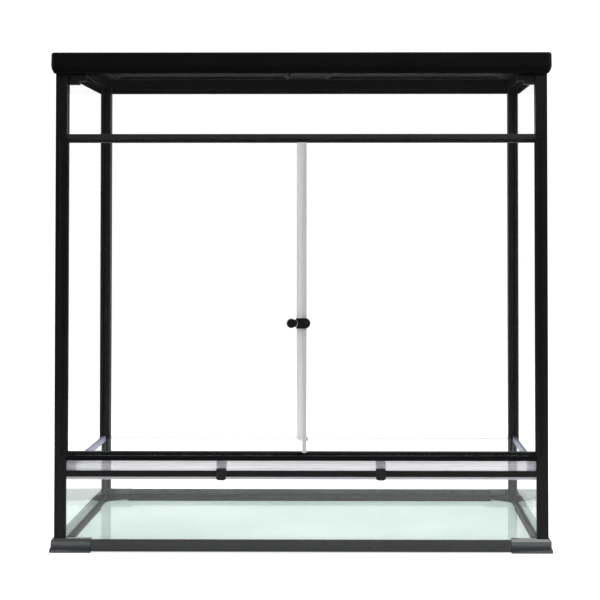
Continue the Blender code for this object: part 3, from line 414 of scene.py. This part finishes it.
def woven_screen(side):
    """Plain-woven wire cloth: warp and weft wires pass over and under each other."""
    low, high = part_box("screen_mesh_" + side)
    width = (high.x - low.x) / MM
    depth = (high.y - low.y) / MM
    columns = int(width / WIRE_PITCH)
    rows = int(depth / WIRE_PITCH)
    x = (low.x + high.x) / 2 - columns * WIRE_PITCH * MM / 2
    y = (low.y + high.y) / 2 - rows * WIRE_PITCH * MM / 2
    z = (low.z + high.z) / 2
    amplitude = WIRE_RADIUS * MM
    wires = []
    for along, length, count in ((0, columns, rows), (1, rows, columns)):
        across = 1 - along
        for phase in (0, 1):
            lift = 1 if (phase + along) % 2 == 0 else -1
            start = [x, y, z + lift * amplitude]
            start[across] += phase * WIRE_PITCH * MM
            wire = wavy_wire(length * WIRE_PITCH, start, along, lift)
            offset = [0.0, 0.0, 0.0]
            offset[across] = 2 * WIRE_PITCH * MM
            apply(wire, "ARRAY", count=(count - phase) // 2 + 1, use_relative_offset=False,
                  use_constant_offset=True, constant_offset_displace=offset)
            wires.append(wire)
    bpy.ops.object.select_all(action="DESELECT")
    for wire in wires:
        wire.select_set(True)
    bpy.context.view_layer.objects.active = wires[0]
    bpy.ops.object.join()
    cloth = settle(bpy.context.active_object, "woven_screen_" + side, SCREEN_WIRE,
                   side + "_screen")
    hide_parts("screen_mesh_" + side)


# Sealant

BEAD_LEG_MM = 4.0
BEAD_BELOW_RIM_MM = 4.0
BEAD_GAP_MM = 0.1


def tray_seams():
    """Silicone fillets round the floor and up the tray's four inner corners."""
    dress("tray_silicone_seam", SILICONE)
    low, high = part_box("tray_silicone_seam")
    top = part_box("tray_glass_left")[1].z - BEAD_BELOW_RIM_MM * MM
    corner = (BEAD_GAP_MM * MM, BEAD_GAP_MM * MM, 0)
    for name, x, y, turn in (("front_left", low.x, low.y, 0), ("front_right", high.x, low.y, 1),
                             ("back_right", high.x, high.y, 2), ("back_left", low.x, high.y, 3)):
        bpy.ops.mesh.primitive_cylinder_add(vertices=24, radius=BEAD_LEG_MM * MM,
                                            depth=top - high.z, end_fill_type="NGON",
                                            location=(0, 0, 0))
        bead = bpy.context.active_object
        bpy.ops.object.mode_set(mode="EDIT")
        for normal in ((1, 0, 0), (0, 1, 0)):
            bpy.ops.mesh.select_all(action="SELECT")
            bpy.ops.mesh.bisect(plane_co=corner, plane_no=normal, clear_inner=True, use_fill=True)
        bpy.ops.object.mode_set(mode="OBJECT")
        bead.rotation_euler.z = turn * math.pi / 2
        bead.location = (x, y, (top + high.z) / 2)
        settle(bead, "silicone_bead_" + name, SILICONE, "cabinet")
        bpy.ops.object.shade_smooth_by_angle(angle=math.radians(40))


black_frame()
charcoal_base()
glass_and_strips()
door_seal()
latch()
for screen_side in ("left", "right"):
    woven_screen(screen_side)
tray_seams()


# Studio

SWEEP_FRONT = -1.1
SWEEP_SIZE = 6.4
PAPER_SEEN = 0.6
PAPER_THROUGH_GLASS = 0.4
SKY_SEEN = 1.15


def studio():
    """A white sweep under and behind the cabinet, a darker room in front, soft light from above."""
    bpy.ops.mesh.primitive_plane_add(size=SWEEP_SIZE, location=(0, SWEEP_FRONT + SWEEP_SIZE / 2, 0))
    floor = bpy.context.active_object
    floor.name = "studio_floor"
    made, tree, shader = new_finish("white paper sweep", Roughness=0.9, Specular_IOR_Level=0.2)
    place = add(tree, "ShaderNodeTexCoord").outputs["Object"]
    tree.links.new(mottled(tree, place, "#ececec", "#f0f0f0", 0.5), shader.inputs["Base Color"])
    path = add(tree, "ShaderNodeLightPath")
    direct = add(tree, "ShaderNodeMath", {0: path.outputs["Is Camera Ray"]}, {1: PAPER_SEEN},
                 operation="MULTIPLY")
    through = add(tree, "ShaderNodeMath", {0: path.outputs["Is Transmission Ray"]},
                  {1: PAPER_THROUGH_GLASS}, operation="MULTIPLY")
    lift = add(tree, "ShaderNodeMath", {0: direct.outputs[0], 1: through.outputs[0]},
               operation="ADD")
    shader.inputs["Emission Color"].default_value = (1, 1, 1, 1)
    tree.links.new(lift.outputs[0], shader.inputs["Emission Strength"])
    floor.data.materials.append(made)

    world = bpy.data.worlds.new("white studio")
    bpy.context.scene.world = world
    world.use_nodes = True
    tree = world.node_tree
    sky = tree.nodes["Background"]
    towards = add(tree, "ShaderNodeSeparateXYZ",
                  {"Vector": add(tree, "ShaderNodeTexCoord").outputs["Generated"]})
    depth = add(tree, "ShaderNodeMapRange", {"Value": towards.outputs["Y"]},
                {"From Min": -0.7, "From Max": 0.5, "To Min": 0.1, "To Max": 1.0})
    path = add(tree, "ShaderNodeLightPath")
    seen = add(tree, "ShaderNodeMath",
               {0: path.outputs["Is Camera Ray"], 1: path.outputs["Is Transmission Ray"]},
               operation="MAXIMUM")
    level = add(tree, "ShaderNodeMapRange",
                {"Value": seen.outputs[0], "To Min": depth.outputs["Result"]},
                {"To Max": SKY_SEEN})
    sky.inputs["Color"].default_value = (1, 1, 1, 1)
    tree.links.new(level.outputs["Result"], sky.inputs["Strength"])

    for name, place, target, width, depth, power in (
            ("overhead softbox", (0.1, -0.5, 2.8), (0, 0, 0.4), 2.4, 2.4, 50),
            ("front softbox", (0.6, -2.2, 2.2), (0.2, -0.2, 0.0), 2.4, 0.9, 26),
            ("left softbox", (-2.6, -0.6, 1.8), (0, 0, 0.4), 1.6, 1.6, 16),
            ("right softbox", (2.6, -0.8, 1.4), (0, 0, 0.3), 1.6, 1.6, 26)):
        lamp = bpy.data.lights.new(name, "AREA")
        lamp.shape = "RECTANGLE"
        lamp.size = width
        lamp.size_y = depth
        lamp.energy = power
        holder = bpy.data.objects.new(name, lamp)
        holder.location = place
        holder.rotation_euler = (Vector(target) - Vector(place)).to_track_quat("-Z", "Y").to_euler()
        bpy.context.scene.collection.objects.link(holder)


def camera():
    """The photograph's camera: fitted to the cabinet's corners, a little above its middle."""
    lens = bpy.data.cameras.new("photo camera")
    lens.sensor_width = 36.0
    lens.lens = 77.06
    lens.shift_x = -0.0748
    lens.shift_y = -0.1685
    lens.clip_end = 60.0
    holder = bpy.data.objects.new("photo camera", lens)
    holder.location = (0.0961, -2.5595, 0.5932)
    holder.rotation_euler = (math.radians(90 + 1.166), 0.0, math.radians(0.4))
    bpy.context.scene.collection.objects.link(holder)
    bpy.context.scene.camera = holder


studio()
camera()
bpy.context.scene.view_settings.view_transform = "Standard"
